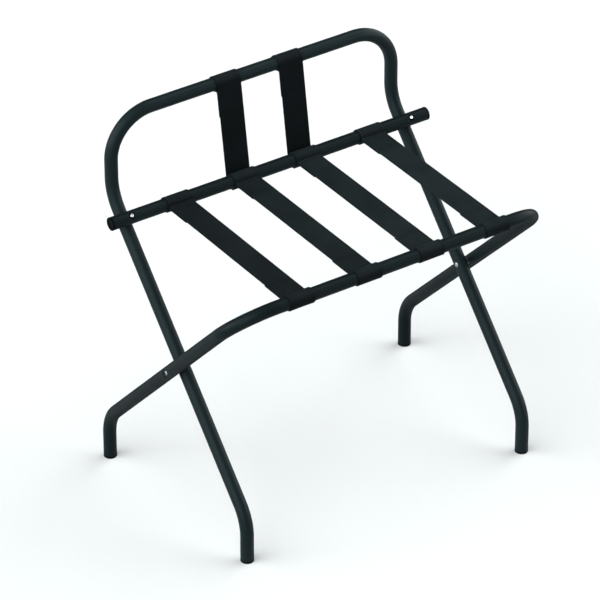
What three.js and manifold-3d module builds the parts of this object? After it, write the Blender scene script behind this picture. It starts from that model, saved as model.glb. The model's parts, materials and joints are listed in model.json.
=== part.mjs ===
// Folding luggage rack with a back guard: two crossed frames of bent steel tube, a crossbar,
// four seat straps and two back straps of webbing. Millimetres, +X right, -Y front, +Z up.
// The origin is on the floor under the middle of the rack.
import * as THREE from 'three';
import { mergeVertices } from 'three/addons/utils/BufferGeometryUtils.js';
import Module from 'manifold-3d';

const wasm = await Module();
wasm.setup();

// Driving dimensions.
const TUBE_RADIUS = 11.1;
const TUBE_WALL = 1.2;
const BEND_RADIUS = 76;
const GAP = 0.3;

const PIVOT_HEIGHT = 273;
const FOOT_BEND_HEIGHT = 77.5;
const BACK_HALF_WIDTH = 273;
const BACK_SLOPE = THREE.MathUtils.degToRad(47.2);
const BACK_KNEE_REACH = 302;
const ARCH_HEIGHT = 631.5;
const FRONT_HALF_WIDTH = 298;
const FRONT_SLOPE = THREE.MathUtils.degToRad(45.7);
const FRONT_BAR_REACH = 281;
const CROSSBAR_REACH = 252;
const CROSSBAR_STANDOFF = 23.6;
const CROSSBAR_HALF_LENGTH = 309;

const CAP_THICKNESS = 3;
const CAP_EDGE = 1;
const CAP_SPIGOT_LENGTH = 15;
const CAP_SPIGOT_CLEARANCE = 0.5;

const STRAP_WIDTH = 46;
const STRAP_THICKNESS = 2.1;
const STRAP_CENTRES = [-183, -55, 65, 193];
const BACK_STRAP_CENTRES = [STRAP_CENTRES[1], STRAP_CENTRES[2]];
const STRAP_LAP = 50;
const BACK_STRAP_LAP = 42;

const RIVET_RADIUS = 3;
const RIVET_OUTER_HEAD_RADIUS = 3.8;
const RIVET_OUTER_HEAD_HEIGHT = 1.2;
const RIVET_INNER_HEAD_RADIUS = 4.4;
const RIVET_INNER_HEAD_HEIGHT = 3;
const SPACER_RADIUS = 5.6;

const BOLT_RADIUS = 3;
const BOLT_HEAD_RADIUS = 5.5;
const BOLT_HEAD_HEIGHT = 2.8;
const BOLT_END = 26;
const WASHER_RADIUS = 6.5;
const WASHER_THICKNESS = 1;
const SADDLE_RADIUS = 5.5;
const SLEEVE_RADIUS = 4.6;
const SLEEVE_BORE_END = 27;
const SLEEVE_FOOT_MARGIN = 1;
const SLEEVE_SOCKET_DEPTH = 4.5;
const SLEEVE_SOCKET_RADIUS = 3.2;
const SLEEVE_SINK = 0.6;

// Mesh fineness.
const TUBE_SIDES = 16;
const BORE_SIDES = 12;
const BEND_STEP = THREE.MathUtils.degToRad(11.25);
const ROUND_SIDES = 14;
const DOME_STEPS = 3;

// Worked out from the driving dimensions. "Forward" is distance in front of the pivot axis
// and "up" is height above it, which are the axes of the two frames' own groups.
const BORE_RADIUS = TUBE_RADIUS - TUBE_WALL;
const HOLE_RADIUS = RIVET_RADIUS + GAP;
const WASHER_FACE = -TUBE_RADIUS - GAP - WASHER_THICKNESS;
const FLOOR = -PIVOT_HEIGHT;
const TUBE_END = FLOOR + CAP_THICKNESS + GAP;
const FOOT_BEND = FLOOR + FOOT_BEND_HEIGHT;
const BACK_FOOT_FORWARD = (PIVOT_HEIGHT - FOOT_BEND_HEIGHT) / Math.tan(BACK_SLOPE);
const FRONT_FOOT_FORWARD = -(PIVOT_HEIGHT - FOOT_BEND_HEIGHT) / Math.tan(FRONT_SLOPE);
const ARCH_FORWARD = -BACK_KNEE_REACH * Math.cos(BACK_SLOPE);
const BACK_KNEE_UP = BACK_KNEE_REACH * Math.sin(BACK_SLOPE);
const ARCH_UP = ARCH_HEIGHT - PIVOT_HEIGHT;
const FRONT_BAR_FORWARD = FRONT_BAR_REACH * Math.cos(FRONT_SLOPE);
const FRONT_BAR_UP = FRONT_BAR_REACH * Math.sin(FRONT_SLOPE);
// The crossbar lies on the front of the back frame's legs, a standoff along their normal.
const LEG_NORMAL = point(0, Math.sin(BACK_SLOPE), Math.cos(BACK_SLOPE));
const CROSSBAR_FOOT = point(
  0, -CROSSBAR_REACH * Math.cos(BACK_SLOPE), CROSSBAR_REACH * Math.sin(BACK_SLOPE));
const CROSSBAR_CENTRE = CROSSBAR_FOOT.clone().addScaledVector(LEG_NORMAL, CROSSBAR_STANDOFF);
const CROSSBAR_FORWARD = -CROSSBAR_CENTRE.y;
const CROSSBAR_UP = CROSSBAR_CENTRE.z;
const LOOP_INNER_RADIUS = TUBE_RADIUS + GAP;
const LOOP_OUTER_RADIUS = LOOP_INNER_RADIUS + STRAP_THICKNESS;
// The rack's middle, front to back, is above the origin.
const PIVOT_Y = (FRONT_BAR_FORWARD + ARCH_FORWARD) / 2;

const STEEL = { color: 0x2c3537, metalness: 0.35, roughness: 0.45 };
const WEBBING = { color: 0x20282b, metalness: 0, roughness: 0.9 };
const PLASTIC = { color: 0x141718, metalness: 0, roughness: 0.5 };
const ZINC = { color: 0xc4c8ca, metalness: 0.9, roughness: 0.3 };
const NYLON = { color: 0x1a1c1d, metalness: 0, roughness: 0.6 };

function point(x, forward, up) {
  return new THREE.Vector3(x, -forward, up);
}

function part(name, geometry, finish) {
  const mesh = new THREE.Mesh(geometry, new THREE.MeshStandardMaterial(finish));
  mesh.name = name;
  return mesh;
}

function ring(radius, sides) {
  return Array.from({ length: sides }, (_, i) => {
    const angle = (2 * Math.PI * i) / sides;
    return new THREE.Vector2(radius * Math.cos(angle), radius * Math.sin(angle));
  });
}

function toSolid(geometry) {
  const bare = geometry.clone();
  bare.deleteAttribute('normal');
  bare.deleteAttribute('uv');
  const merged = mergeVertices(bare, 1e-4);
  const mesh = new wasm.Mesh({
    numProp: 3,
    vertProperties: Float32Array.from(merged.attributes.position.array),
    triVerts: Uint32Array.from(merged.index.array),
  });
  return new wasm.Manifold(mesh);
}

function toGeometry(solid) {
  const mesh = solid.getMesh();
  const geometry = new THREE.BufferGeometry();
  geometry.setAttribute('position', new THREE.BufferAttribute(mesh.vertProperties, 3));
  geometry.setIndex(new THREE.BufferAttribute(mesh.triVerts, 1));
  geometry.computeVertexNormals();
  return geometry;
}

// A round drill that runs from one point to another.
function drill(radius, from, to) {
  const run = to.clone().sub(from);
  const geometry = new THREE.CylinderGeometry(radius, radius, run.length(), ROUND_SIDES);
  const turn = new THREE.Quaternion().setFromUnitVectors(
    new THREE.Vector3(0, 1, 0), run.clone().normalize());
  geometry.applyQuaternion(turn);
  const middle = from.clone().addScaledVector(run, 0.5);
  return geometry.translate(middle.x, middle.y, middle.z);
}

function cut(geometry, drills) {
  const solid = drills.reduce((left, tool) => left.subtract(toSolid(tool)), toSolid(geometry));
  return toGeometry(solid);
}

// A centre line of straight runs joined by round bends. Its stations are the ends of the runs
// and even steps along each bend, so a sweep along it has no needless rings.
class BentPath extends THREE.Curve {
  constructor(corners) {
    super();
    const along = (from, to) => to.clone().sub(from).normalize();
    const first = corners[0];
    const last = corners[corners.length - 1];
    this.stations = [{ position: first, tangent: along(first, corners[1]) }];
    for (let i = 1; i < corners.length - 1; i += 1) {
      this.addBend(corners[i], along(corners[i - 1], corners[i]), along(corners[i], corners[i + 1]));
    }
    this.stations.push({ position: last, tangent: along(corners[corners.length - 2], last) });
  }

  addBend(corner, inward, outward) {
    const turn = inward.angleTo(outward);
    const steps = Math.ceil(turn / BEND_STEP);
    const start = corner.clone().addScaledVector(inward, -BEND_RADIUS * Math.tan(turn / 2));
    const side = outward.clone().addScaledVector(inward, -Math.cos(turn)).normalize();
    for (let i = 0; i <= steps; i += 1) {
      const angle = (turn * i) / steps;
      const position = start.clone()
        .addScaledVector(inward, BEND_RADIUS * Math.sin(angle))
        .addScaledVector(side, BEND_RADIUS * (1 - Math.cos(angle)));
      const tangent = inward.clone().multiplyScalar(Math.cos(angle))
        .addScaledVector(side, Math.sin(angle));
      this.stations.push({ position, tangent });
    }
  }

  station(u) {
    return this.stations[Math.round(u * (this.stations.length - 1))];
  }

  getPointAt(u) {
    return this.station(u).position.clone();
  }

  getTangentAt(u) {
    return this.station(u).tangent.clone();
  }
}

function hollowTube(corners) {
  const extrudePath = new BentPath(corners);
  const section = new THREE.Shape(ring(TUBE_RADIUS, TUBE_SIDES));
  section.holes.push(new THREE.Path(ring(BORE_RADIUS, BORE_SIDES)));
  const steps = extrudePath.stations.length - 1;
  return new THREE.ExtrudeGeometry(section, { steps, extrudePath, bevelEnabled: false });
}

// The tube's path from the left foot up, over and down to the right foot, given its right half.
function bothSides(rightHalf) {
  const leftHalf = rightHalf.map((p) => new THREE.Vector3(-p.x, p.y, p.z));
  return [...leftHalf, ...[...rightHalf].reverse()];
}

function pivotDrill(side, halfWidth) {
  const reach = 2 * TUBE_RADIUS;
  return drill(HOLE_RADIUS, point(side * halfWidth - reach, 0, 0), point(side * halfWidth + reach, 0, 0));
}

function alongNormal(x, distance) {
  return CROSSBAR_FOOT.clone().addScaledVector(LEG_NORMAL, distance).setX(x);
}

function backFrameTube() {
  const x = BACK_HALF_WIDTH;
  const tube = hollowTube(bothSides([
    point(x, BACK_FOOT_FORWARD, TUBE_END),
    point(x, BACK_FOOT_FORWARD, FOOT_BEND),
    point(x, ARCH_FORWARD, BACK_KNEE_UP),
    point(x, ARCH_FORWARD, ARCH_UP),
  ]));
  const boltDrill = (side) => {
    const reach = 2 * TUBE_RADIUS;
    return drill(HOLE_RADIUS, alongNormal(side * x, -reach), alongNormal(side * x, reach));
  };
  return cut(tube, [pivotDrill(-1, x), pivotDrill(1, x), boltDrill(-1), boltDrill(1)]);
}

function frontFrameTube() {
  const x = FRONT_HALF_WIDTH;
  const tube = hollowTube(bothSides([
    point(x, FRONT_FOOT_FORWARD, TUBE_END),
    point(x, FRONT_FOOT_FORWARD, FOOT_BEND),
    point(x, FRONT_BAR_FORWARD, FRONT_BAR_UP),
  ]));
  return cut(tube, [pivotDrill(-1, x), pivotDrill(1, x)]);
}

function crossbarTube() {
  const end = CROSSBAR_HALF_LENGTH - CAP_THICKNESS - GAP;
  const tube = hollowTube([
    CROSSBAR_CENTRE.clone().setX(-end),
    CROSSBAR_CENTRE.clone().setX(end),
  ]);
  const drills = [-BACK_HALF_WIDTH, BACK_HALF_WIDTH].flatMap((x) => [
    drill(HOLE_RADIUS, alongNormal(x, 0), alongNormal(x, CROSSBAR_STANDOFF)),
    drill(SLEEVE_RADIUS + GAP, alongNormal(x, CROSSBAR_STANDOFF),
      alongNormal(x, CROSSBAR_STANDOFF + 2 * TUBE_RADIUS)),
  ]);
  return cut(tube, drills);
}

function turned(profile) {
  const outline = profile.map(([radius, along]) => new THREE.Vector2(radius, along));
  return new THREE.LatheGeometry(outline, ROUND_SIDES);
}

// The profile of a shallow dome, from its rim to its crown on the axis.
function dome(radius, base, height) {
  return Array.from({ length: DOME_STEPS + 1 }, (_, i) => {
    const angle = (Math.PI / 2) * (i / DOME_STEPS);
    const across = i === DOME_STEPS ? 0 : radius * Math.cos(angle);
    return [across, base + height * Math.sin(angle)];
  });
}

// A cap's face is at 0 and its spigot runs up the axis into a tube.
function capGeometry() {
  const spigot = BORE_RADIUS - CAP_SPIGOT_CLEARANCE;
  const top = CAP_THICKNESS + CAP_SPIGOT_LENGTH;
  return turned([
    [0, 0], [TUBE_RADIUS - CAP_EDGE, 0], [TUBE_RADIUS, CAP_EDGE], [TUBE_RADIUS, CAP_THICKNESS],
    [spigot, CAP_THICKNESS], [spigot, top - CAP_EDGE], [spigot - CAP_EDGE, top], [0, top],
  ]);
}

function footGlide(name, x, forward) {
  const glide = part(name, capGeometry(), PLASTIC);
  glide.position.copy(point(x, forward, FLOOR));
  glide.rotation.x = Math.PI / 2;
  return glide;
}

function crossbarEndPlug(name, side) {
  const plug = part(name, capGeometry(), PLASTIC);
  plug.position.copy(CROSSBAR_CENTRE).setX(side * CROSSBAR_HALF_LENGTH);
  plug.rotation.z = side * Math.PI / 2;
  return plug;
}

// Both pivot pieces lie along the pivot axis and measure from the rack's middle outwards.
function pivotRivet(name, side) {
  const inner = BACK_HALF_WIDTH - TUBE_RADIUS - GAP;
  const outer = FRONT_HALF_WIDTH + TUBE_RADIUS + GAP;
  const crown = dome(RIVET_INNER_HEAD_RADIUS, 0, RIVET_INNER_HEAD_HEIGHT);
  const rivet = part(name, turned([
    ...crown.map(([radius, height]) => [radius, inner - height]).reverse(),
    [RIVET_RADIUS, inner],
    [RIVET_RADIUS, outer],
    ...dome(RIVET_OUTER_HEAD_RADIUS, outer, RIVET_OUTER_HEAD_HEIGHT),
  ]), ZINC);
  rivet.rotation.z = -side * Math.PI / 2;
  return rivet;
}

function washerProfile(outer, from, to) {
  return [[HOLE_RADIUS, from], [outer, from], [outer, to], [HOLE_RADIUS, to], [HOLE_RADIUS, from]];
}

function pivotSpacer(name, side) {
  const from = BACK_HALF_WIDTH + TUBE_RADIUS + GAP;
  const to = FRONT_HALF_WIDTH - TUBE_RADIUS - GAP;
  const spacer = part(name, turned(washerProfile(SPACER_RADIUS, from, to)), ZINC);
  spacer.rotation.z = -side * Math.PI / 2;
  return spacer;
}

// The crossbar's fastenings measure along the leg's normal from the leg's centre line.
function onLeg(mesh, side) {
  mesh.position.copy(CROSSBAR_FOOT).setX(side * BACK_HALF_WIDTH);
  mesh.quaternion.setFromUnitVectors(new THREE.Vector3(0, 1, 0), LEG_NORMAL);
  return mesh;
}

function crossbarBolt(name, side) {
  const seat = WASHER_FACE - GAP;
  const head = dome(BOLT_HEAD_RADIUS, 0, BOLT_HEAD_HEIGHT);
  return onLeg(part(name, turned([
    ...head.map(([radius, height]) => [radius, seat - height]).reverse(),
    [BOLT_RADIUS, seat],
    [BOLT_RADIUS, BOLT_END],
    [0, BOLT_END],
  ]), ZINC), side);
}

function crossbarBoltWasher(name, side) {
  const profile = washerProfile(WASHER_RADIUS, WASHER_FACE, WASHER_FACE + WASHER_THICKNESS);
  return onLeg(part(name, turned(profile), ZINC), side);
}

function crossbarSaddleWasher(name, side) {
  const top = CROSSBAR_STANDOFF - TUBE_RADIUS - GAP;
  return onLeg(part(name, turned(washerProfile(SADDLE_RADIUS, TUBE_RADIUS + GAP, top)), NYLON), side);
}

// The sleeve nut stands in the crossbar with its bore over the bolt and a hexagon socket on top.
function crossbarSleeveNut(name, side) {
  const reach = SLEEVE_RADIUS + SLEEVE_FOOT_MARGIN;
  const foot = CROSSBAR_STANDOFF - Math.sqrt(BORE_RADIUS ** 2 - reach ** 2) + GAP;
  const top = CROSSBAR_STANDOFF + TUBE_RADIUS - SLEEVE_SINK;
  const sleeve = turned([
    [HOLE_RADIUS, foot], [SLEEVE_RADIUS, foot], [SLEEVE_RADIUS, top], [0, top],
    [0, SLEEVE_BORE_END], [HOLE_RADIUS, SLEEVE_BORE_END], [HOLE_RADIUS, foot],
  ]);
  const socket = new THREE.CylinderGeometry(
    SLEEVE_SOCKET_RADIUS, SLEEVE_SOCKET_RADIUS, 2 * SLEEVE_SOCKET_DEPTH, 6);
  socket.translate(0, top, 0);
  return onLeg(part(name, cut(sleeve, [socket]), ZINC), side);
}

// An outline in the plane across the bars, swept to a strap's width.
function strap(name, outline, centre) {
  const geometry = new THREE.ExtrudeGeometry(outline, {
    depth: STRAP_WIDTH, steps: 1, bevelEnabled: false, curveSegments: TUBE_SIDES / 2,
  });
  const mesh = part(name, geometry, WEBBING);
  mesh.rotation.set(Math.PI / 2, Math.PI / 2, 0);
  mesh.position.x = centre - STRAP_WIDTH / 2;
  return mesh;
}

function barHole(centre) {
  return new THREE.Path(ring(LOOP_INNER_RADIUS, TUBE_SIDES).map((corner) => corner.add(centre)));
}

// One web runs between the bars. Each end goes round its bar and comes back underneath,
// and is sewn down a lap's length from the bar.
function seatStrap(name, centre) {
  const back = new THREE.Vector2(-CROSSBAR_FORWARD, CROSSBAR_UP);
  const front = new THREE.Vector2(-FRONT_BAR_FORWARD, FRONT_BAR_UP);
  const half = Math.asin(STRAP_THICKNESS / LOOP_OUTER_RADIUS);
  const lap = LOOP_OUTER_RADIUS + STRAP_LAP;
  const outline = new THREE.Shape();
  outline.absarc(back.x, back.y, LOOP_OUTER_RADIUS, half - Math.PI, Math.PI - half, false);
  outline.absarc(front.x, front.y, LOOP_OUTER_RADIUS, half, -half, false);
  outline.lineTo(front.x + lap, front.y - STRAP_THICKNESS);
  outline.lineTo(front.x + lap, front.y);
  outline.lineTo(back.x - lap, back.y);
  outline.lineTo(back.x - lap, back.y - STRAP_THICKNESS);
  outline.closePath();
  outline.holes.push(barHole(back), barHole(front));
  return strap(name, outline, centre);
}

// A back strap loops over the arch, runs down behind the crossbar and is sewn under it,
// outside the seat strap's loop. Its faces are straight between the arch's front and the
// crossbar's rear, and its upper end comes back behind the web and is sewn to it.
function backStrap(name, centre) {
  const arch = new THREE.Vector2(-ARCH_FORWARD, ARCH_UP);
  const bar = new THREE.Vector2(-CROSSBAR_FORWARD, CROSSBAR_UP);
  const wrapInner = LOOP_OUTER_RADIUS + GAP;
  const wrapOuter = wrapInner + STRAP_THICKNESS;
  const rise = arch.clone().sub(bar);
  const tilt = Math.atan2(rise.x, rise.y) - Math.asin((LOOP_OUTER_RADIUS + wrapInner) / rise.length());
  const rearward = new THREE.Vector2(Math.cos(tilt), -Math.sin(tilt));
  const downward = new THREE.Vector2(-Math.sin(tilt), -Math.cos(tilt));
  const fromArch = (rear, down) => arch.clone().addScaledVector(rearward, rear)
    .addScaledVector(downward, down);
  const web = STRAP_THICKNESS - LOOP_OUTER_RADIUS;
  const lapped = web + STRAP_THICKNESS;
  const meet = Math.sqrt(LOOP_OUTER_RADIUS ** 2 - lapped ** 2);
  const lapEnd = LOOP_OUTER_RADIUS + BACK_STRAP_LAP;
  const under = -Math.PI / 2;
  const outline = new THREE.Shape();
  outline.absarc(bar.x, bar.y, wrapInner, under, -tilt, false);
  outline.absarc(arch.x, arch.y, LOOP_OUTER_RADIUS, Math.PI - tilt,
    under - tilt - Math.atan2(-lapped, meet), true);
  outline.lineTo(...fromArch(lapped, lapEnd));
  outline.lineTo(...fromArch(web, lapEnd));
  outline.absarc(bar.x, bar.y, wrapOuter, -tilt, under, true);
  outline.closePath();
  outline.holes.push(barHole(arch));
  return strap(name, outline, centre);
}

const sides = [['left', -1], ['right', 1]];

const backFrame = new THREE.Group();
backFrame.add(part('back_frame_tube', backFrameTube(), STEEL));
backFrame.add(part('crossbar_tube', crossbarTube(), STEEL));
for (const [word, side] of sides) {
  backFrame.add(
    crossbarEndPlug(`crossbar_end_plug_${word}`, side),
    crossbarBolt(`crossbar_bolt_${word}`, side),
    crossbarBoltWasher(`crossbar_bolt_washer_${word}`, side),
    crossbarSaddleWasher(`crossbar_saddle_washer_${word}`, side),
    crossbarSleeveNut(`crossbar_sleeve_nut_${word}`, side),
    pivotRivet(`pivot_rivet_${word}`, side),
    pivotSpacer(`pivot_spacer_${word}`, side),
    footGlide(`back_frame_foot_glide_${word}`, side * BACK_HALF_WIDTH, BACK_FOOT_FORWARD),
  );
}
STRAP_CENTRES.forEach((x, i) => backFrame.add(seatStrap(`seat_strap_${i + 1}`, x)));
BACK_STRAP_CENTRES.forEach((x, i) => backFrame.add(backStrap(`back_strap_${sides[i][0]}`, x)));

const frontFrame = new THREE.Group();
frontFrame.add(part('front_frame_tube', frontFrameTube(), STEEL));
for (const [word, side] of sides) {
  frontFrame.add(
    footGlide(`front_frame_foot_glide_${word}`, side * FRONT_HALF_WIDTH, FRONT_FOOT_FORWARD));
}

const rack = new THREE.Group();
for (const frame of [backFrame, frontFrame]) {
  frame.position.set(0, PIVOT_Y, PIVOT_HEIGHT);
  rack.add(frame);
}

export default rack;
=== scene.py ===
"""The looks of the folding luggage rack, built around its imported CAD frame. Metres, +X right,
-Y front, +Z up. Lengths thought of in millimetres are written as a number times MM."""

import json
import math

import bmesh
import bpy
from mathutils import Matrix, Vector


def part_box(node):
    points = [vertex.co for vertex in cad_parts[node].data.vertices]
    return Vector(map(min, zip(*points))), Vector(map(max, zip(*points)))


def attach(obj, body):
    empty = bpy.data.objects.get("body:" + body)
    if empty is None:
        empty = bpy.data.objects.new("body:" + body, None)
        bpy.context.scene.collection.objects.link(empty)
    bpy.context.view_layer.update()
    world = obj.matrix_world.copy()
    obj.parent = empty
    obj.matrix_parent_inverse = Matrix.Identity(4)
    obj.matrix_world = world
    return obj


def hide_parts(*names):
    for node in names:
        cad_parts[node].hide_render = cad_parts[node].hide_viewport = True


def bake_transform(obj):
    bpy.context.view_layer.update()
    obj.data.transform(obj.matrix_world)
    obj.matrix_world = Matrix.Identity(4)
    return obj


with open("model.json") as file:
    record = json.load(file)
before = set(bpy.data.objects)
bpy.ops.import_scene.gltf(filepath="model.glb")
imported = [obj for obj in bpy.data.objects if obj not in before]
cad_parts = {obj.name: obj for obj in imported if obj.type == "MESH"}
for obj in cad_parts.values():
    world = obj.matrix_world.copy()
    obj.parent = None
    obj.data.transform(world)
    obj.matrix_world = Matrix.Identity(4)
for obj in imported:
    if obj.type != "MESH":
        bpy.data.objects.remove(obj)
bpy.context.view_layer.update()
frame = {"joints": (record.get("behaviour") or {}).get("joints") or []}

MM = 0.001
SIDES = [("left", -1), ("right", 1)]

# Design sizes, as in the part's own source.
TUBE_RADIUS = 11.1 * MM
TUBE_WALL = 1.2 * MM
BEND_RADIUS = 76 * MM
FOOT_BEND_HEIGHT = 77.5 * MM
CROSSBAR_STANDOFF = 23.6 * MM
CAP_THICKNESS = 3 * MM
STRAP_THICKNESS = 2 * MM
STRAP_LAP = 62 * MM
BACK_STRAP_LAP = 55.5 * MM
RIVET_SHANK = 3 * MM
RIVET_INNER_HEAD, RIVET_OUTER_HEAD = 4.4 * MM, 3.8 * MM
SPACER_BORE, SPACER_CORE, SPACER_RIM = 3.1 * MM, 5.1 * MM, 5.6 * MM
SPACER_RIM_THICKNESS = 0.6 * MM
SADDLE_REACHES = [3.2 * MM, 4.2 * MM, 5.2 * MM, 6 * MM]
SADDLE_CLEARANCE = 0.04 * MM
BOLT_HEAD, BOLT_SHANK, BOLT_TIP = 5.5 * MM, 3 * MM, 2.4 * MM
BOLT_END = 26 * MM
BOLT_WASHER, BOLT_WASHER_BORE = 6.5 * MM, 3.2 * MM
NUT_END, NUT_BODY = 2.9 * MM, 4.6 * MM
NUT_LEAN_RIGHT, NUT_LEAN_UP = 1.3 * MM, 0.5 * MM
HOLE_RADIUS = 4.9 * MM
HOLE_LIP = 0.2 * MM

# Each leg is pressed in under its rivet head: a flat seat whose sides rise to the wall.
DIMPLE_DEPTH = 3 * MM
DIMPLE_SEAT = 4.6 * MM
DIMPLE_REACH = 9 * MM

# How finely round things are made.
TUBE_SIDES = 48
BEND_STEP = math.radians(3.75)
ARC_STEP = math.radians(8)
LATHE_SIDES = 48
SADDLE_SIDES = 36
HOLE_CELLS = 4
BORE_DEPTH = 20 * MM
ON_RUN = 0.5 * MM

# Where the webbing lies. Offsets are of the middle of its thickness.
LOOP_RADIUS = TUBE_RADIUS + 0.05 * MM + STRAP_THICKNESS / 2
OUTER_LOOP_RADIUS = LOOP_RADIUS + STRAP_THICKNESS + 0.1 * MM
LAYER_PITCH = STRAP_THICKNESS + 0.08 * MM
TOP_LAYER_RISE = 1.3 * MM
STRAP_FILLET = 3.4 * MM
WEB_STEP = 5 * MM
TAIL_ANGLE = math.radians(-104)

# The sewing. The rows start this far from the bar's axis, and the box is shorter than the lap.
SEWN_FACE = STRAP_THICKNESS / 2 * 0.9
SEWN_MARGIN = 4.5 * MM
SEWN_START = 20 * MM
SEWN_SHORTER = 24 * MM
SECOND_ROW = 4 * MM
STITCH_PITCH, STITCH_GAP = 3.1 * MM, 0.6 * MM
THREAD_RADIUS = 0.27 * MM
THREAD_FINISH = 1

# The camera, and the studio's soft lights as (degrees round from the camera, elevation,
# strength, spread in degrees).
VIEW_AZIMUTH, VIEW_ELEVATION = -34.163, 33.028
VIEW_TARGET = Vector((-0.0328, 0.0178, 0.3002))
VIEW_DISTANCE = 7.446
LENS, SENSOR_WIDTH = 275.3, 36
STUDIO_LIGHTS = [(-90, 15, 2.45, 44), (-45, 15, 6.2, 76), (90, 15, 2.57, 44),
                 (135, 15, 1.93, 44), (-82, 53, 0.85, 44), (0, 53, 0.6, 44), (120, 53, 1.7, 44)]
ROOM_COLOUR, ROOM_STRENGTH = (0.97, 0.99, 1.0, 1), 0.15
FLOOR_REACH = 14
FLOOR_COLOUR = (0.482, 0.502, 0.504, 1)

# The tint of gloss on coats and plastic.
COOL_TINT = (0.84, 1.0, 1.05, 1)


# ---------------------------------------------------------------- positions from the frame

def centre_of(node):
    low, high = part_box(node)
    return (low + high) / 2


def measured_layout():
    """The rack's main points and sizes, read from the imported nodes."""
    low_back, high_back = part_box("back_frame_tube")
    low_front, high_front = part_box("front_frame_tube")
    crossbar = centre_of("crossbar_tube")
    back_foot = centre_of("back_frame_foot_glide_right")
    front_foot = centre_of("front_frame_foot_glide_right")
    return {
        "pivot": Vector(frame["joints"][0]["pos_m"]),
        "back_half_width": back_foot.x,
        "front_half_width": front_foot.x,
        "back_foot_y": back_foot.y,
        "front_foot_y": front_foot.y,
        "arch": Vector((0, high_back.y - TUBE_RADIUS, high_back.z - TUBE_RADIUS)),
        "front_bar": Vector((0, low_front.y + TUBE_RADIUS, high_front.z - TUBE_RADIUS)),
        "crossbar": Vector((0, crossbar.y, crossbar.z)),
        "crossbar_half_length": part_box("crossbar_end_plug_right")[1].x,
        "tube_end": low_back.z,
    }


def width_and_middle(node):
    """A strap's width and where its middle lies along X."""
    low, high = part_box(node)
    return high.x - low.x, (low.x + high.x) / 2


place = measured_layout()


# ---------------------------------------------------------------- numbers

def eased(share):
    """A share from 0 to 1 with a level start and end."""
    return share * share * (3 - 2 * share)


def shortest_turn(angle):
    """The same turn, between half a turn back and half a turn on."""
    return (angle + math.pi) % (2 * math.pi) - math.pi


# ---------------------------------------------------------------- meshes

class Shape:
    """Vertices and faces gathered for one mesh, with each face's material and corner UVs."""

    def __init__(self):
        self.points = []
        self.faces = []
        self.finishes = []
        self.uvs = []

    def add(self, points):
        first = len(self.points)
        self.points.extend(Vector(p) for p in points)
        return list(range(first, len(self.points)))

    def face(self, corners, finish=0, uv=None):
        self.faces.append(corners)
        self.finishes.append(finish)
        self.uvs.append(uv or [(0.0, 0.0, 0.0)] * len(corners))

    def bridge(self, one, two, finish=0):
        """Quads between two rings of the same length, each closed on itself."""
        count = len(one)
        for i in range(count):
            j = (i + 1) % count
            self.face([one[i], one[j], two[j], two[i]], finish)

    def fan(self, ring, middle, finish=0):
        tip = self.add([middle])[0]
        for i in range(len(ring)):
            self.face([ring[i], ring[(i + 1) % len(ring)], tip], finish)

    def build(self, name, materials, sharp_degrees=35):
        mesh = bpy.data.meshes.new(name)
        mesh.from_pydata(self.points, [], self.faces)
        mesh.polygons.foreach_set("material_index", self.finishes)
        corners = [corner for face in self.uvs for corner in face]
        cloth = mesh.uv_layers.new(name="cloth")
        cloth.data.foreach_set("uv", [c for x, along, _ in corners for c in (x, along)])
        # The second UV layer holds each corner's painted top light, a share from 0 to 1.
        fade = mesh.uv_layers.new(name="fade")
        fade.data.foreach_set("uv", [c for _, _, share in corners for c in (share, 0.0)])
        for material in materials:
            mesh.materials.append(material)
        turn_outwards(mesh)
        mesh.shade_smooth()
        mesh.set_sharp_from_angle(angle=math.radians(sharp_degrees))
        mesh.validate()
        obj = bpy.data.objects.new(name, mesh)
        bpy.context.scene.collection.objects.link(obj)
        return obj


def turn_outwards(mesh):
    """Turns every face's normal away from the solid it bounds."""
    working = bmesh.new()
    working.from_mesh(mesh)
    bmesh.ops.recalc_face_normals(working, faces=working.faces)
    working.to_mesh(mesh)
    working.free()


def bent_path(corners, radius):
    """Points and directions along straight runs joined by round bends."""
    def along(start, end):
        return (end - start).normalized()

    stations = [(corners[0], along(corners[0], corners[1]))]
    for before, corner, after in zip(corners, corners[1:], corners[2:]):
        inward, outward = along(before, corner), along(corner, after)
        turn = inward.angle(outward)
        start = corner - inward * radius * math.tan(turn / 2)
        side = (outward - inward * math.cos(turn)).normalized()
        steps = math.ceil(turn / BEND_STEP)
        for i in range(steps + 1):
            angle = turn * i / steps
            position = start + inward * radius * math.sin(angle) \
                + side * radius * (1 - math.cos(angle))
            stations.append((position, inward * math.cos(angle) + side * math.sin(angle)))
    stations.append((corners[-1], along(corners[-2], corners[-1])))
    return stations


def ring_round(position, direction, normal, radius):
    across = direction.cross(normal)
    turn = 2 * math.pi / TUBE_SIDES
    return [position + (normal * math.cos(i * turn) + across * math.sin(i * turn)) * radius
            for i in range(TUBE_SIDES)]


def tube_end_rings(position, outward, normal):
    """Rings from a little inside a cut end, round its edge and down its bore."""
    bore = TUBE_RADIUS - TUBE_WALL
    edge = 0.25 * MM
    for depth, radius in [(2 * edge, TUBE_RADIUS), (edge * 0.3, TUBE_RADIUS - edge * 0.3),
                          (0, TUBE_RADIUS - edge), (0, bore + edge), (edge, bore),
                          (BORE_DEPTH, bore)]:
        yield ring_round(position - outward * depth, outward, normal, radius)


def with_close_stations(stations, dimples):
    """Adds stations 1 mm apart on the straight run through each dimple."""
    reach = round(DIMPLE_REACH / MM) + 1
    close = []
    for station, following in zip(stations, stations[1:]):
        close.append(station)
        start, direction = station
        for middle, _ in dimples:
            along = (middle - start).dot(direction)
            on_run = (start + direction * along - middle).length < ON_RUN
            if on_run and 0 < along < (following[0] - start).length:
                close += [(start + direction * (along + k * MM), direction)
                          for k in range(-reach, reach + 1)]
    return close + [stations[-1]]


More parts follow.
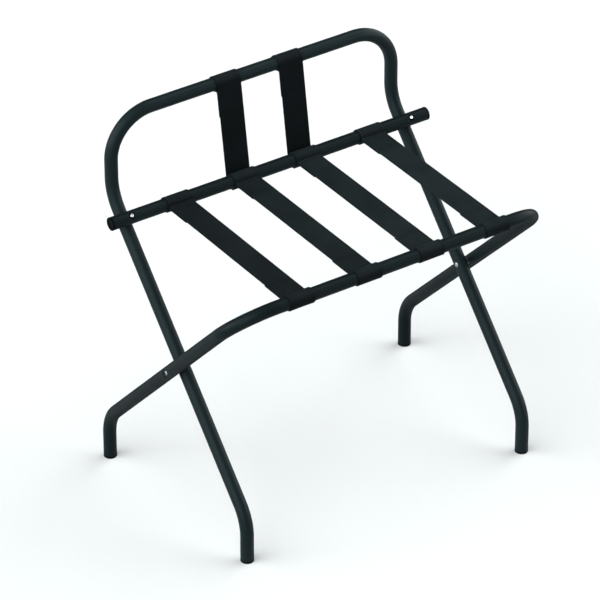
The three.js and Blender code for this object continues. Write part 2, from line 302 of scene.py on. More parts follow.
def pressed_in(point, dimples):
    """A point of a tube's wall after the dimples, each a (middle, outward) pair, are pressed."""
    for middle, outward in dimples:
        height = (point - middle).dot(outward)
        aside = (point - middle - outward * height).length
        seat = TUBE_RADIUS - DIMPLE_DEPTH
        if seat < height < 2 * TUBE_RADIUS and aside < DIMPLE_REACH:
            share = eased(min(1, (DIMPLE_REACH - aside) / (DIMPLE_REACH - DIMPLE_SEAT)))
            point = point - outward * (height - seat) * share
    return point


def bent_tube(corners, dimples=()):
    """A hollow tube whose two ends are cut square and open into its bore."""
    stations = with_close_stations(bent_path(corners, BEND_RADIUS), dimples)
    normal = stations[0][1].orthogonal().normalized()
    shape = Shape()
    rings = []
    previous = stations[0][1]
    for position, direction in stations:
        normal = previous.rotation_difference(direction) @ normal
        normal = (normal - direction * normal.dot(direction)).normalized()
        rings.append((position, direction, normal))
        previous = direction
    start, end = rings[0], rings[-1]
    loops = [[ring[0]] + ring[:0:-1] for ring in tube_end_rings(start[0], -start[1], start[2])]
    loops.reverse()
    loops += [ring_round(p, d, n, TUBE_RADIUS) for p, d, n in rings[1:-1]]
    loops += list(tube_end_rings(end[0], end[1], end[2]))
    indices = [shape.add(pressed_in(p, dimples) for p in loop) for loop in loops]
    for one, two in zip(indices, indices[1:]):
        shape.bridge(two, one)
    shape.fan(indices[0], start[0] + start[1] * BORE_DEPTH)
    shape.fan(indices[-1][::-1], end[0] - end[1] * BORE_DEPTH)
    return shape


def lathe(profile, origin, axis, shape=None, finish=0):
    """A turned solid: profile holds (radius, distance along the axis). A radius may also be a
    function of the angle, as for a hexagon socket."""
    shape = shape or Shape()
    axis = axis.normalized()
    normal = axis.orthogonal().normalized()
    across = axis.cross(normal)
    rings = []
    for radius, along in profile:
        if radius == 0:
            rings.append(shape.add([origin + axis * along]))
            continue
        points = []
        for i in range(LATHE_SIDES):
            angle = 2 * math.pi * i / LATHE_SIDES
            reach = radius(angle) if callable(radius) else radius
            points.append(origin + axis * along
                          + (normal * math.cos(angle) + across * math.sin(angle)) * reach)
        rings.append(shape.add(points))
    for one, two in zip(rings, rings[1:]):
        for i in range(LATHE_SIDES):
            j = (i + 1) % LATHE_SIDES
            a = [one[0]] if len(one) == 1 else [one[i], one[j]]
            b = [two[0]] if len(two) == 1 else [two[j], two[i]]
            shape.face(a + b, finish)
    return shape


def hexagon(flat_radius):
    """The radius of a hexagon at an angle, for lathe(). Angles are nudged off the corners."""
    sixth = math.pi / 3
    return lambda angle: flat_radius / math.cos((angle + 1e-9) % sixth - sixth / 2)


def rounded(radius, from_along, to_along, edge, steps=3):
    """A lathe profile's outer corners: out along one face, round both edges, in again."""
    sign = 1 if to_along > from_along else -1
    profile = []
    for i in range(steps + 1):
        angle = math.pi / 2 * i / steps
        profile.append((radius - edge + edge * math.sin(angle),
                        from_along + sign * edge * (1 - math.cos(angle))))
    for i in range(steps + 1):
        angle = math.pi / 2 * i / steps
        profile.append((radius - edge + edge * math.cos(angle),
                        to_along - sign * edge * (1 - math.sin(angle))))
    return profile


def domed(radius, base, height, steps=8, to_radius=0.0):
    """A lathe profile from a dome's rim towards its crown, stopping at to_radius."""
    profile = []
    last = math.acos(to_radius / radius)
    for i in range(steps + 1):
        angle = last * i / steps
        profile.append((radius * math.cos(angle) if angle < math.pi / 2 - 1e-6 else 0,
                        base + height * math.sin(angle)))
    return profile


def finish_piece(shape, name, materials, body, sharp_degrees=35):
    """Makes the mesh, lets it ride on its body and stand for the CAD node of its name."""
    piece = shape.build(name + "_look", materials, sharp_degrees)
    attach(piece, body)
    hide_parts(name)
    return piece


# ---------------------------------------------------------------- materials

class Nodes:
    """A material's node tree, with short calls for the nodes that the finishes share."""

    def __init__(self, name):
        self.material = bpy.data.materials.new(name)
        self.material.use_nodes = True
        self.tree = self.material.node_tree
        self.shader = self.tree.nodes["Principled BSDF"]

    def node(self, kind, **settings):
        made = self.tree.nodes.new(kind)
        for key, value in settings.items():
            setattr(made, key, value)
        return made

    def link(self, source, target):
        self.tree.links.new(source, target)

    def put(self, socket, value):
        if isinstance(value, bpy.types.NodeSocket):
            self.link(value, socket)
        else:
            socket.default_value = value

    def math(self, operation, *values):
        node = self.node("ShaderNodeMath", operation=operation)
        for socket, value in zip(node.inputs, values):
            self.put(socket, value)
        return node.outputs[0]

    def wave(self, turns):
        """From 0 at whole turns to 1 half way between them."""
        cosine = self.math("COSINE", self.math("MULTIPLY", turns, 2 * math.pi))
        return self.between(cosine, 1, 0, -1, 1)

    def position(self):
        return self.node("ShaderNodeTexCoord").outputs["Object"]

    def edge_on(self):
        """From 0 face on to 1 edge on. Rough coats lose their gloss as they turn edge on."""
        return self.node("ShaderNodeLayerWeight").outputs["Facing"]

    def parts(self, vector):
        node = self.node("ShaderNodeSeparateXYZ")
        self.link(vector, node.inputs[0])
        return node.outputs

    def noise(self, vector, scale, detail=2.0, roughness=0.5):
        node = self.node("ShaderNodeTexNoise")
        self.link(vector, node.inputs["Vector"])
        node.inputs["Scale"].default_value = scale
        node.inputs["Detail"].default_value = detail
        node.inputs["Roughness"].default_value = roughness
        return node.outputs["Fac"]

    def between(self, value, low, high, from_low=0.0, from_high=1.0):
        node = self.node("ShaderNodeMapRange")
        for socket, number in zip(node.inputs, (value, from_low, from_high, low, high)):
            self.put(socket, number)
        return node.outputs["Result"]

    def ramp(self, value, *stops):
        """A colour from (position, colour) stops."""
        node = self.node("ShaderNodeValToRGB")
        elements = node.color_ramp.elements
        while len(elements) < len(stops):
            elements.new(0.5)
        for element, (position, colour) in zip(elements, stops):
            element.position = position
            element.color = (*colour, 1)
        self.link(value, node.inputs["Fac"])
        return node.outputs["Color"]

    def mix(self, factor, one, two, blend="MIX"):
        node = self.node("ShaderNodeMix", data_type="RGBA", blend_type=blend)
        self.put(node.inputs[0], factor)
        self.put(node.inputs[6], one)
        self.put(node.inputs[7], two)
        return node.outputs[2]

    def scaled(self, colour, factor):
        node = self.node("ShaderNodeVectorMath", operation="SCALE")
        self.link(colour, node.inputs[0])
        self.put(node.inputs["Scale"], factor)
        return node.outputs[0]

    def bump(self, height, strength, distance, after=None):
        node = self.node("ShaderNodeBump")
        node.inputs["Strength"].default_value = strength
        node.inputs["Distance"].default_value = distance
        self.link(height, node.inputs["Height"])
        if after:
            self.link(after, node.inputs["Normal"])
        return node.outputs["Normal"]

    def set(self, **values):
        """Shader inputs by name, with underscores for spaces."""
        for key, value in values.items():
            self.put(self.shader.inputs[key.replace("_", " ")], value)
        return self.material


def powder_coat(name, dark, light, gloss):
    """Satin powder coat: fine orange peel, slow drifts of tone, and duller rubbed patches."""
    n = Nodes(name)
    where = n.position()
    drift = n.noise(where, 9, 3)
    grain = n.noise(where, 1100, 2)
    peel = n.noise(where, 420, 2)
    rubbed = n.noise(where, 30, 5, 0.6)
    tone = n.ramp(drift, (0.35, dark), (0.65, light))
    flecks = n.ramp(grain, (0.45, (0.0, 0.0, 0.0)), (0.85, (0.012, 0.014, 0.015)))
    colour = n.mix(0.12, tone, flecks, "ADD")
    rough = n.math("ADD", n.between(rubbed, 0.30, 0.42, 0.3, 0.7),
                   n.between(grain, -0.03, 0.03))
    rough = n.math("ADD", rough, n.between(n.edge_on(), 0.0, 0.4, 0.55, 0.85))
    fine = n.bump(grain, 0.10, 0.00008)
    return n.set(Base_Color=colour, Roughness=rough, Normal=n.bump(peel, 0.16, 0.00025, fine),
                 Specular_IOR_Level=gloss, Specular_Tint=COOL_TINT)


def webbing(name, low_light_tone, top_lit_tone, drift):
    """Woven webbing. Its cloth UVs are metres across and along the strap. Its second UV layer
    holds painted light: how much lighter a place is painted, most on level upper faces and not at
    all on hanging ones and undersides, which leaves painted shade on the loops' fronts and
    creases. Straps further to the right are paler by the drift, a share per metre, which is
    painted light too: a brightening towards the right."""
    n = Nodes(name)
    uv = n.node("ShaderNodeUVMap", uv_map="cloth").outputs["UV"]
    across, along, _ = n.parts(uv)
    cord = n.math("MULTIPLY", across, 1 / (1.5 * MM))
    shift = n.math("MULTIPLY", n.math("FLOOR", cord), 0.5)
    pick = n.math("ADD", n.math("MULTIPLY", along, 1 / (1.9 * MM)), shift)
    picks = n.math("ADD", n.math("MULTIPLY", n.wave(pick), 0.65), 0.35)
    weave = n.math("MULTIPLY", n.wave(cord), picks)
    where = n.position()
    mottle = n.noise(where, 14, 3, 0.55)
    fuzz = n.noise(uv, 1800, 2)
    streak = n.node("ShaderNodeMapping")
    n.link(uv, streak.inputs["Vector"])
    streak.inputs["Scale"].default_value = (420, 6, 1)
    yarns = n.noise(streak.outputs["Vector"], 1.0, 2)
    # Painted light: faces turned upward take the lighter tone, hanging faces and undersides the
    # darker one, so the loops' fronts and creases get painted shade.
    fade, _, _ = n.parts(n.node("ShaderNodeUVMap", uv_map="fade").outputs["UV"])
    tone = n.mix(fade, (*low_light_tone, 1), (*top_lit_tone, 1))
    lightness = n.math("ADD", n.between(mottle, 0.82, 1.18, 0.36, 0.64),
                       n.between(yarns, 0.0, 0.26, 0.35, 0.75))
    tone = n.scaled(tone, lightness)
    shade = n.ramp(weave, (0.0, (0.42, 0.42, 0.42)), (0.7, (1.0, 1.0, 1.0)))
    colour = n.mix(1.0, tone, shade, "MULTIPLY")
    # Painted light: the tone grows lighter towards +X by the drift, standing in for light that is
    # stronger on the right.
    rightward, _, _ = n.parts(where)
    colour = n.scaled(colour, n.math("ADD", n.math("MULTIPLY", rightward, drift), 1.0))
    rough = n.math("ADD", n.between(weave, 0.78, 0.62), n.between(fuzz, -0.06, 0.06))
    relief = n.bump(weave, 0.55, 0.00035)
    return n.set(Base_Color=colour, Roughness=rough, Normal=n.bump(fuzz, 0.15, 0.0001, relief),
                 Specular_IOR_Level=0.04)


def sewing_thread():
    n = Nodes("sewing_thread_black")
    where = n.position()
    twist = n.noise(where, 2600, 2)
    tone = n.ramp(twist, (0.3, (0.0018, 0.0031, 0.0036)), (0.7, (0.0042, 0.0065, 0.0073)))
    return n.set(Base_Color=tone, Roughness=n.between(twist, 0.50, 0.70),
                 Normal=n.bump(twist, 0.4, 0.0001), Specular_IOR_Level=0.05)


def moulded_plastic(name, dark, light):
    """Moulded plastic: a faint spark-eroded grain and scuffs that dull it."""
    n = Nodes(name)
    where = n.position()
    grain = n.noise(where, 1500, 3)
    scuffs = n.noise(where, 160, 5, 0.65)
    tone = n.ramp(scuffs, (0.4, dark), (0.7, light))
    return n.set(Base_Color=tone, Roughness=n.between(scuffs, 0.42, 0.66, 0.3, 0.7),
                 Normal=n.bump(grain, 0.2, 0.0001), Specular_IOR_Level=0.015,
                 Specular_Tint=COOL_TINT)


def zinc_plate(name, tarnished, clean):
    """Zinc-plated steel with turning marks and a little tarnish."""
    n = Nodes(name)
    where = n.position()
    tarnish = n.noise(where, 380, 4, 0.6)
    brushed = n.noise(where, 2600, 2)
    tone = n.ramp(tarnish, (0.3, tarnished), (0.6, clean))
    return n.set(Base_Color=tone, Metallic=1.0, Roughness=n.between(tarnish, 0.34, 0.20, 0.3, 0.7),
                 Normal=n.bump(brushed, 0.12, 0.00005))


MAIN_COAT = powder_coat("powder_coat_main", (0.0040, 0.0077, 0.0086), (0.0053, 0.0095, 0.0105),
                        0.053)
# The front frame and crossbar take a darker, less glossy copy of the same powder coat: painted
# shade, toning down tubes that the low side light made too bright.
COAT_SHADED_COPY = powder_coat("powder_coat_shaded_copy", (0.0028, 0.0053, 0.0060), (0.0036, 0.0067, 0.0074),
                        0.039)
# The seat webbing's drift of 1.15 per metre paints light that grows towards the right.
SEAT_WEBBING = webbing("webbing_seat", (0.0023, 0.0038, 0.0047), (0.0059, 0.0100, 0.0112), 1.15)
# The back straps' webbing is the seat webbing made darker: painted shade for faces that turn away
# from the lights.
BACK_WEBBING_SHADED = webbing("webbing_back_shaded", (0.0021, 0.0034, 0.0042), (0.0050, 0.0085, 0.0095), 0.0)
THREAD = sewing_thread()
PLASTIC = moulded_plastic("plastic_black", (0.0004, 0.0009, 0.0010), (0.0010, 0.0017, 0.0019))
NYLON = moulded_plastic("nylon_black", (0.0012, 0.0016, 0.0018), (0.0030, 0.0036, 0.0038))
ZINC = zinc_plate("zinc_plate_bright", (0.62, 0.64, 0.66), (0.86, 0.88, 0.90))
# A darker copy of the zinc plate: painted shade for the rivet heads in their dimples and the
# washers between the legs.
ZINC_SHADED_COPY = zinc_plate("zinc_plate_shaded_copy", (0.16, 0.18, 0.19), (0.32, 0.35, 0.36))


# ---------------------------------------------------------------- tubes

def frame_corners(half_width, foot_y, far_point):
    """A leg's corners from its foot to its far end, for the right-hand side."""
    foot_bend = Vector((half_width, foot_y, FOOT_BEND_HEIGHT))
    return [Vector((half_width, foot_y, place["tube_end"])), foot_bend,
            Vector((half_width, far_point.y, far_point.z))]


def both_sides(right_half):
    left_half = [Vector((-p.x, p.y, p.z)) for p in right_half]
    return left_half + right_half[::-1]


def pivot_dimples(half_width, facing):
    """Both legs' dimples, which face outwards (1) or inwards (-1)."""
    pivot = place["pivot"]
    return [(Vector((side * half_width, pivot.y, pivot.z)), Vector((side * facing, 0, 0)))
            for _, side in SIDES]


def make_back_frame():
    half_width, foot_y, pivot, arch = (
        place[k] for k in ("back_half_width", "back_foot_y", "pivot", "arch"))
    slope = (pivot.z - FOOT_BEND_HEIGHT) / (pivot.y - foot_y)
    knee = Vector((0, arch.y, pivot.z + (arch.y - pivot.y) * slope))
    corners = frame_corners(half_width, foot_y, knee) + [Vector((half_width, arch.y, arch.z))]
    shape = bent_tube(both_sides(corners), pivot_dimples(half_width, -1))
    finish_piece(shape, "back_frame_tube", [MAIN_COAT], "back_frame")


def make_front_frame():
    corners = frame_corners(place["front_half_width"], place["front_foot_y"], place["front_bar"])
    dimples = pivot_dimples(place["front_half_width"], 1)
    shape = bent_tube(both_sides(corners), dimples)
    # Painted shade: the front frame wears the darker copy of the coat.
    finish_piece(shape, "front_frame_tube", [COAT_SHADED_COPY], "front_frame")


def leg_axes():
    """The back leg's direction upwards and its front face's normal."""
    pivot = place["pivot"]
    foot = Vector((0, place["back_foot_y"], FOOT_BEND_HEIGHT))
    up = (pivot - foot).normalized()
    return up, Vector((0, -up.z, up.y))


LEG_UP, LEG_NORMAL = leg_axes()
CROSSBAR_FOOT = place["crossbar"] - LEG_NORMAL * CROSSBAR_STANDOFF


def crossbar_stations(end):
    """Distances along the crossbar, with close steps round each hole."""
    cell = TUBE_RADIUS * 2 * math.pi / TUBE_SIDES
    holes = [-place["back_half_width"], place["back_half_width"]]
    steps = [hole + cell * k for hole in holes for k in range(-HOLE_CELLS, HOLE_CELLS + 1)]
    return [-end, *steps, end], holes


def hole_border(stations, hole):
    """The grid's (station, side) cells round a hole's patch, in order."""
    middle = min(range(len(stations)), key=lambda i: abs(stations[i] - hole))
    k = HOLE_CELLS
    border = [(middle + k, j) for j in range(-k, k)]
    border += [(middle + i, k) for i in range(k, -k, -1)]
    border += [(middle - k, j) for j in range(k, -k, -1)]
    border += [(middle + i, -k) for i in range(-k, k)]
    return middle, border


def make_crossbar():
    """A straight hollow tube along X. Each end has a hole through its upper wall, which faces
    away from the leg, and the hole's lip is rounded."""
    shape = Shape()
    end = place["crossbar_half_length"] - CAP_THICKNESS
    stations, holes = crossbar_stations(end)
    across = Vector((1, 0, 0)).cross(LEG_NORMAL)
    turn = 2 * math.pi / TUBE_SIDES

    def on_wall(x, angle, radius):
        return place["crossbar"] + Vector((x, 0, 0)) \
            + (LEG_NORMAL * math.cos(angle) + across * math.sin(angle)) * radius

    def wall(radius, inward):
        grid = [shape.add(on_wall(x, j * turn, radius) for j in range(TUBE_SIDES))
                for x in stations]
        patches = [hole_border(stations, hole) for hole in holes]
        for i in range(len(stations) - 1):
            for j in range(TUBE_SIDES):
                side = j if j < TUBE_SIDES / 2 else j - TUBE_SIDES
                if any(m - HOLE_CELLS <= i < m + HOLE_CELLS and -HOLE_CELLS <= side < HOLE_CELLS
                       for m, _ in patches):
                    continue
                k = (j + 1) % TUBE_SIDES
                quad = [grid[i][j], grid[i][k], grid[i + 1][k], grid[i + 1][j]]
                shape.face(quad if inward else quad[::-1])
        return grid, [[grid[i][j % TUBE_SIDES] for i, j in border] for _, border in patches]

    def rim(hole, border, wall_radius, hole_radius):
        """A round ring on the wall, one point towards each of the border's corners."""
        points = []
        for index in border:
            point = shape.points[index] - place["crossbar"]
            aside = math.atan2(point.dot(across), point.dot(LEG_NORMAL)) * wall_radius
            angle = math.atan2(aside, point.x - hole)
            offset = hole_radius * math.sin(angle)
            points.append(on_wall(hole + hole_radius * math.cos(angle),
                                  math.asin(offset / wall_radius), wall_radius))
        return shape.add(points)

    outer, outer_borders = wall(TUBE_RADIUS, False)
    inner, inner_borders = wall(TUBE_RADIUS - TUBE_WALL, True)
    lip = HOLE_LIP
    for hole, above, below in zip(holes, outer_borders, inner_borders):
        rings = [above, rim(hole, above, TUBE_RADIUS, HOLE_RADIUS + lip),
                 rim(hole, above, TUBE_RADIUS - lip * 0.3, HOLE_RADIUS + lip * 0.3),
                 rim(hole, above, TUBE_RADIUS - lip, HOLE_RADIUS),
                 rim(hole, above, TUBE_RADIUS - TUBE_WALL, HOLE_RADIUS), below]
        for one, two in zip(rings, rings[1:]):
            shape.bridge(one, two)
    shape.bridge(outer[0], inner[0])
    shape.bridge(inner[-1], outer[-1])
    # Painted shade: the crossbar wears the darker copy of the coat.
    finish_piece(shape, "crossbar_tube", [COAT_SHADED_COPY], "back_frame")


# ---------------------------------------------------------------- caps and fastenings

def cap_profile():
    """A cap: a rounded button face, a flange a little proud of the tube, and a ribbed spigot."""
    bore = TUBE_RADIUS - TUBE_WALL
    flange = TUBE_RADIUS + 0.25 * MM
    profile = [(0, 0.25 * MM), (flange * 0.55, 0.2 * MM), (flange * 0.62, 0)]
    profile += rounded(flange, 0, CAP_THICKNESS - 0.1 * MM, 0.9 * MM, 4)
    profile += [(TUBE_RADIUS - 0.5 * MM, CAP_THICKNESS - 0.1 * MM),
                (TUBE_RADIUS - 0.5 * MM, CAP_THICKNESS + 0.25 * MM)]
    for i in range(4):
        base = CAP_THICKNESS + (1 + 3.5 * i) * MM
        profile += [(bore - 0.9 * MM, base), (bore - 0.15 * MM, base + 0.4 * MM),
                    (bore - 0.15 * MM, base + 1.2 * MM), (bore - 0.9 * MM, base + 2.4 * MM)]
    top = CAP_THICKNESS + 15 * MM
    return profile + [(bore - 2 * MM, top), (0, top)]


def make_caps():
    for word, side in SIDES:
        for owner in ("back", "front"):
            node = f"{owner}_frame_foot_glide_{word}"
            foot = centre_of(node)
            foot.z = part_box(node)[0].z
            shape = lathe(cap_profile()[::-1], foot, Vector((0, 0, 1)))
            finish_piece(shape, node, [PLASTIC], f"{owner}_frame")
        end = place["crossbar"] + Vector((side * place["crossbar_half_length"], 0, 0))
        shape = lathe(cap_profile()[::-1], end, Vector((-side, 0, 0)))
        finish_piece(shape, f"crossbar_end_plug_{word}", [PLASTIC], "back_frame")


def make_pivots():
    """Each pivot is one rivet through both legs, and a washer stack between them."""
    for word, side in SIDES:
        axis = Vector((side, 0, 0))
        pivot = Vector((0, place["pivot"].y, place["pivot"].z))
        inner = place["back_half_width"] - TUBE_RADIUS + DIMPLE_DEPTH
        outer = place["front_half_width"] + TUBE_RADIUS - DIMPLE_DEPTH
        crown = domed(RIVET_INNER_HEAD, 0, 1.4 * MM)
        profile = [(r, inner - 0.2 * MM - h) for r, h in crown][::-1]
        profile += [(RIVET_INNER_HEAD, inner + 0.1 * MM), (RIVET_SHANK, inner + 0.1 * MM),
                    (RIVET_SHANK, outer - 0.1 * MM), (RIVET_OUTER_HEAD, outer - 0.1 * MM)]
        profile += domed(RIVET_OUTER_HEAD, outer + 0.15 * MM, 0.8 * MM)
        shape = lathe(profile[::-1], pivot, axis)
        # The rivet wears the darker zinc copy, painted shade in its dimples.
        finish_piece(shape, f"pivot_rivet_{word}", [ZINC_SHADED_COPY], "back_frame")

        low = place["back_half_width"] + TUBE_RADIUS
        high = place["front_half_width"] - TUBE_RADIUS
        stack = Shape()
        thin = SPACER_RIM_THICKNESS
        for start, end, radius, finish in ((low, low + thin, SPACER_RIM, 0),
                                           (low + thin, high - thin, SPACER_CORE, 1),
                                           (high - thin, high, SPACER_RIM, 0)):
            ring = rounded(radius, start, end, 0.2 * MM, 2)
            closed = [(SPACER_BORE, start), *ring, (SPACER_BORE, end), (SPACER_BORE, start)]
            lathe(closed[::-1], pivot, axis, shape=stack, finish=finish)
        # The washers' rims wear the darker zinc copy, painted shade between the legs.
        finish_piece(stack, f"pivot_spacer_{word}", [ZINC_SHADED_COPY, NYLON], "back_frame")


def saddle_shape(side):
    """A thin washer hollowed on both faces to sit between the leg and the crossbar."""
    shape = Shape()
    origin = CROSSBAR_FOOT + Vector((side * place["back_half_width"], 0, 0))

    def ring(reach, top):
        points = []
        for i in range(SADDLE_SIDES):
            angle = 2 * math.pi * i / SADDLE_SIDES
            x, up = reach * math.cos(angle), reach * math.sin(angle)
            low = math.sqrt(TUBE_RADIUS ** 2 - x * x) + SADDLE_CLEARANCE
            high = CROSSBAR_STANDOFF - math.sqrt(TUBE_RADIUS ** 2 - up * up)
            high -= SADDLE_CLEARANCE
            points.append(origin + Vector((x, 0, 0)) + LEG_UP * up
                          + LEG_NORMAL * (high if top else low))
        return shape.add(points)

    rings = [ring(r, False) for r in SADDLE_REACHES]
    rings += [ring(r, True) for r in SADDLE_REACHES[::-1]]
    for one, two in zip(rings, rings[1:] + rings[:1]):
        shape.bridge(one, two)
    return shape


def sleeve_nut_shape(origin):
    """A bright end with a key socket, on a body that stands lower in the crossbar's hole. The body
    is given the black nylon finish as painted shade deep in the hole.
    The end leans to the upper right of its oversize hole."""
    top = CROSSBAR_STANDOFF + TUBE_RADIUS - 0.2 * MM
    shoulder = top - 4.5 * MM
    key = hexagon(1 * MM)
    end = [(0, top - 0.9 * MM), (key, top - 0.9 * MM), (key, top - 0.1 * MM), (1.4 * MM, top),
           (2.3 * MM, top - 0.15 * MM), (2.7 * MM, top - 0.5 * MM), (NUT_END, top - 1.1 * MM),
           (NUT_END, shoulder - 1 * MM), (0, shoulder - 1 * MM)]
    lean = Vector((NUT_LEAN_RIGHT, 0, 0)) + LEG_UP * NUT_LEAN_UP
    shape = lathe(end, origin + lean, LEG_NORMAL)
    # The body below takes finish 1, the black nylon: painted shade inside the hole.
    foot = CROSSBAR_STANDOFF - TUBE_RADIUS + TUBE_WALL + 1.3 * MM
    body = [(0, shoulder), (4.2 * MM, shoulder), (NUT_BODY, shoulder - 0.4 * MM),
            (NUT_BODY, foot), (3.1 * MM, foot), (3.1 * MM, foot + 3 * MM), (0, foot + 3 * MM)]
    return lathe(body, origin, LEG_NORMAL, shape=shape, finish=1)


def make_crossbar_fastenings():
    """A button-head bolt and washer behind each leg, and a sleeve nut sunk in the crossbar."""
    for word, side in SIDES:
        origin = CROSSBAR_FOOT + Vector((side * place["back_half_width"], 0, 0))
        seat = -TUBE_RADIUS - 1.5 * MM
        socket = hexagon(1.9 * MM)
        crown = [(r, seat - h) for r, h in domed(BOLT_HEAD, 0.3 * MM, 2.5 * MM, 7, 2.6 * MM)]
        head = [(0, seat - 1.1 * MM), (socket, seat - 1.1 * MM), (socket, crown[-1][1])]
        bolt = head + crown[::-1] + [(BOLT_HEAD, seat), (BOLT_SHANK, seat),
                                     (BOLT_SHANK, 25 * MM), (BOLT_TIP, BOLT_END), (0, BOLT_END)]
        finish_piece(lathe(bolt[::-1], origin, LEG_NORMAL), f"crossbar_bolt_{word}", [ZINC],
                     "back_frame")

        near, far = seat + 0.05 * MM, seat + 1.3 * MM
        washer = [(BOLT_WASHER_BORE, near), *rounded(BOLT_WASHER, near, far, 0.25 * MM, 2),
                  (BOLT_WASHER_BORE, far), (BOLT_WASHER_BORE, near)]
        finish_piece(lathe(washer[::-1], origin, LEG_NORMAL), f"crossbar_bolt_washer_{word}",
                     [ZINC], "back_frame")

        finish_piece(saddle_shape(side), f"crossbar_saddle_washer_{word}", [NYLON],
                     "back_frame")

        # The nut's body takes the black nylon as painted shade in the hole.
        finish_piece(sleeve_nut_shape(origin), f"crossbar_sleeve_nut_{word}",
                     [ZINC, NYLON], "back_frame", sharp_degrees=30)


# ---------------------------------------------------------------- webbing

def arc(centre, radius, start, end):
    """Points round a circle in the plane across the bars, from one angle to another."""
    steps = max(2, math.ceil(abs(end - start) / ARC_STEP))
    return [centre + Vector((math.cos(a), math.sin(a))) * radius
            for a in (start + (end - start) * i / steps for i in range(steps + 1))]


def straight(start, end):
    steps = max(1, math.ceil((end - start).length / WEB_STEP))
    return [start.lerp(end, i / steps) for i in range(steps + 1)]


def angle_of(vector):
    return math.atan2(vector.y, vector.x)


def loop_with_fillets(bar, inward, top, under):
    """A loop round a bar whose two ends leave level, inward of the bar, at heights top and
    under. It runs from the upper end over the bar and back to the lower one."""
    points = []
    far = LOOP_RADIUS + STRAP_FILLET
    for height, side in ((top, 1), (under, -1)):
        lift = height + side * STRAP_FILLET
        reach = math.sqrt(far ** 2 - lift ** 2)
        centre = bar + Vector((inward * reach, lift))
        touch = angle_of(centre - bar)
        down = -side * math.pi / 2
        back = touch + math.pi
        sweep = shortest_turn(back - down)
        points.append((arc(centre, STRAP_FILLET, down, down + sweep), touch))
    (upper, first), (lower, last) = points
    turn = (last - first) % (2 * math.pi)
    if inward < 0:
        turn -= 2 * math.pi
    return upper + arc(bar, LOOP_RADIUS, first, first + turn) + lower[::-1]


def without_repeats(path):
    kept = [path[0]]
    for point in path[1:]:
        if (point - kept[-1]).length > 0.02 * MM:
            kept.append(point)
    return kept


def seat_path():
    """The web's middle from its lap under the crossbar, round both bars, to its front lap."""
    rear = place["crossbar"].yz
    front = place["front_bar"].yz
    top, under = TOP_LAYER_RISE, TOP_LAYER_RISE - LAYER_PITCH
    rear_loop = loop_with_fillets(rear, -1, top, under)[::-1]
    front_loop = loop_with_fillets(front, 1, top, under)
    start = rear + Vector((-STRAP_LAP, under))
    end = front + Vector((STRAP_LAP, under))
    path = straight(start, rear_loop[0]) + rear_loop
    path += straight(rear_loop[-1], front_loop[0]) + front_loop
    path += straight(front_loop[-1], end)
    return without_repeats(path)


def back_path():
    """The web's middle from its tail under the crossbar, up to the arch, over it and down to
    its lap on the rear face. Returns the path, and the web's rearward and downward directions."""
    arch, bar = place["arch"].yz, place["crossbar"].yz
    rise = arch - bar
    tilt = math.atan2(rise.x, rise.y) - math.asin((LOOP_RADIUS + OUTER_LOOP_RADIUS) / rise.length)
    rearward = Vector((math.cos(tilt), -math.sin(tilt)))
    downward = Vector((-math.sin(tilt), -math.cos(tilt)))
    lapped = LAYER_PITCH - LOOP_RADIUS
    across = lapped + STRAP_FILLET
    drop = math.sqrt((LOOP_RADIUS + STRAP_FILLET) ** 2 - across ** 2)
    centre = arch + rearward * across + downward * drop
    touch = angle_of(centre - arch)
    path = arc(bar, OUTER_LOOP_RADIUS, TAIL_ANGLE, -tilt)
    path += straight(path[-1], arch - rearward * LOOP_RADIUS)
    path += arc(arch, LOOP_RADIUS, math.pi - tilt, touch)
    from_loop = touch + math.pi
    to_lap = angle_of(-rearward)
    sweep = shortest_turn(to_lap - from_loop)
    path += arc(centre, STRAP_FILLET, from_loop, from_loop + sweep)
    path += straight(path[-1], arch + rearward * lapped + downward * BACK_STRAP_LAP)
    return without_repeats(path), arch, rearward, downward


def web_section(width):
    """The web's outline across its width: flat faces, a thicker cord inside each rounded edge."""
    half, edge = width / 2, STRAP_THICKNESS / 2
    face = [(half - 6 * MM, 0.86), (half - 4.2 * MM, 0.80), (half - 3.2 * MM, 0.95),
            (half - 2 * MM, 1.0), (half - edge, 0.98)]
    right = [(x, share * edge) for x, share in face]
    for degrees in (60, 30, 0, -30, -60):
        turn = math.radians(degrees)
        right.append((half - edge + edge * math.cos(turn), edge * 0.98 * math.sin(turn)))
    right += [(x, -share * edge) for x, share in face[::-1]]
    middle = [(x, 0.86 * edge) for x in (12 * MM, 6 * MM, 0, -6 * MM, -12 * MM)]
    under = [(-x, -y) for x, y in middle]
    return middle + [(-x, y) for x, y in right] + under + right[::-1]


def top_light_share(upward):
    """How much painted top light cloth gets, from the upward part of its outward direction."""
    return eased(min(1, max(0, (upward - 0.25) / 0.7)))


